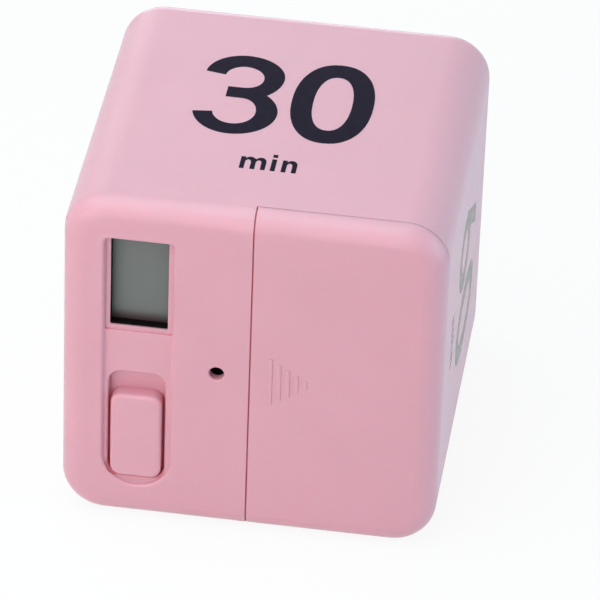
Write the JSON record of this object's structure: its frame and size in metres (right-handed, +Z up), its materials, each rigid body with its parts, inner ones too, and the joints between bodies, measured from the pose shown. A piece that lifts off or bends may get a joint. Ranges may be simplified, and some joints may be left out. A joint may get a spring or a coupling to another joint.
{
  "type": "cube timer",
  "caption": "Cube countdown timer that is set by turning a numbered face up, with a display window, a slide switch, a sound hole and a sliding battery cover beside them.",
  "frame": {"origin": "centre of the bottom face, on the surface that the cube stands on", "axes": "+Z up through the face that is uppermost, -Y out of the face with the display, +X the way the battery cover slides off"},
  "size_m": [0.062, 0.0621, 0.062],
  "materials": {
    "pink_plastic": "fine matte pink moulding",
    "black_plastic": "satin black",
    "white_plastic": "satin off-white",
    "display_glass": "grey-green liquid crystal glass with its segments off",
    "grey_rubber": "matte",
    "green_board": "green solder mask",
    "black_epoxy": "glossy black resin",
    "nickel": "nickel plated",
    "steel": "zinc plated",
    "cell_jacket": "plain printed jacket",
    "wire_red": "red insulation",
    "wire_black": "black insulation",
    "clear_led": "diffused clear resin",
    "black_resistor": "dark chip",
    "dark_print": "satin charcoal ink of the numbers"
  },
  "bodies": {
    "case": {"main_shell": "pink_plastic", "rear_cover": "pink_plastic", "lcd_frame": "black_plastic", "lcd_panel": "display_glass", "lcd_connector": "grey_rubber", "switch_housing": "steel", "circuit_board": "green_board", "board_screw_1": "steel", "board_screw_2": "steel", "board_screw_3": "steel", "buzzer": "black_plastic", "status_led": "clear_led", "chip_cover": "black_epoxy", "crystal": "nickel", "capacitor": "black_plastic", "tilt_sensor": "white_plastic", "resistor_1": "black_resistor", "resistor_2": "black_resistor", "battery_1": "cell_jacket", "battery_2": "cell_jacket", "plus_contact": "nickel", "minus_contact": "nickel", "link_contact": "nickel", "minus_spring": "nickel", "link_spring": "nickel", "wire_red": "wire_red", "wire_black": "wire_black"},
    "switch": {"switch_knob": "pink_plastic", "switch_lever": "white_plastic"},
    "cover": {"battery_cover": "pink_plastic"}
  },
  "joints": [
    {"name": "switch_slide", "type": "slide", "parent": "case", "child": "switch", "axis": [0, 0, 1], "range_m": [0, 0.004]},
    {"name": "cover_slide", "type": "slide", "parent": "case", "child": "cover", "axis": [1, 0, 0], "range_m": [0, 0.034]}
  ]
}
